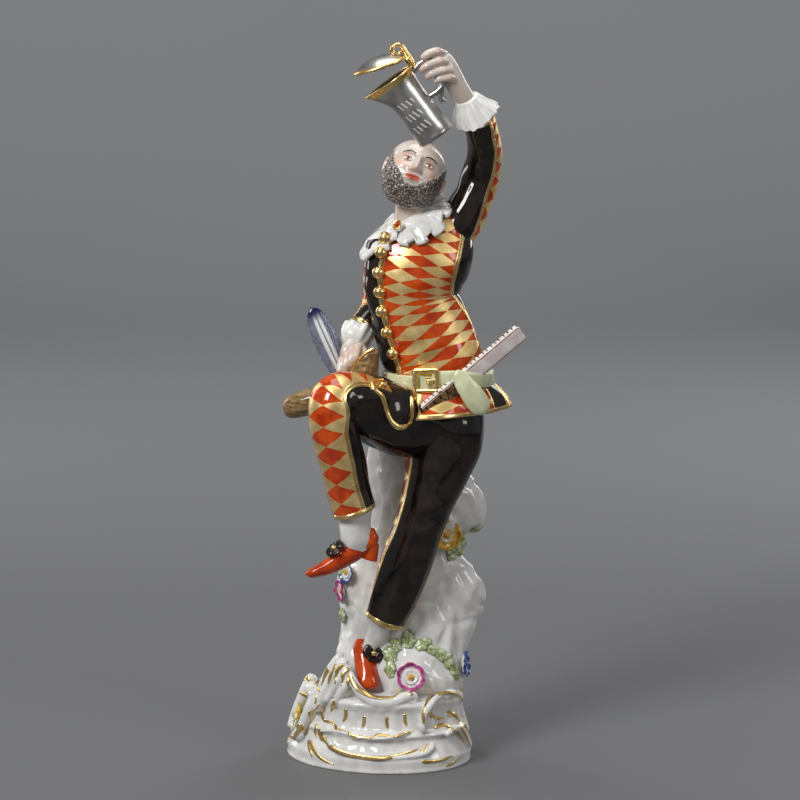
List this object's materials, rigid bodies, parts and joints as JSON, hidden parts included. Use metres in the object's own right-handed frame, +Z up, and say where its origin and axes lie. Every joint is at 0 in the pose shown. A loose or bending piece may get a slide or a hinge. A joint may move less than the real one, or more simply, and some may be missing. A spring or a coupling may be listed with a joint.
{
  "type": "porcelain comedy figurine",
  "caption": "Glazed porcelain comedy player in diamond-patterned dress, one knee raised, leaning on a flowered rock and pouring from a lidded jug held overhead, on a scrolled plinth.",
  "frame": {"origin": "middle of the plinth's flat underside", "axes": "+Z up, the figure's chest and the plinth's scrolled front face -Y, +X to the viewer's right"},
  "size_m": [0.1155, 0.0819, 0.3403],
  "materials": {
    "porcelain": "glossy clear glaze over white porcelain, painted with black, red and yellow enamels and with gold"
  },
  "bodies": {
    "root": {"figurine": "porcelain"}
  },
  "joints": []
}
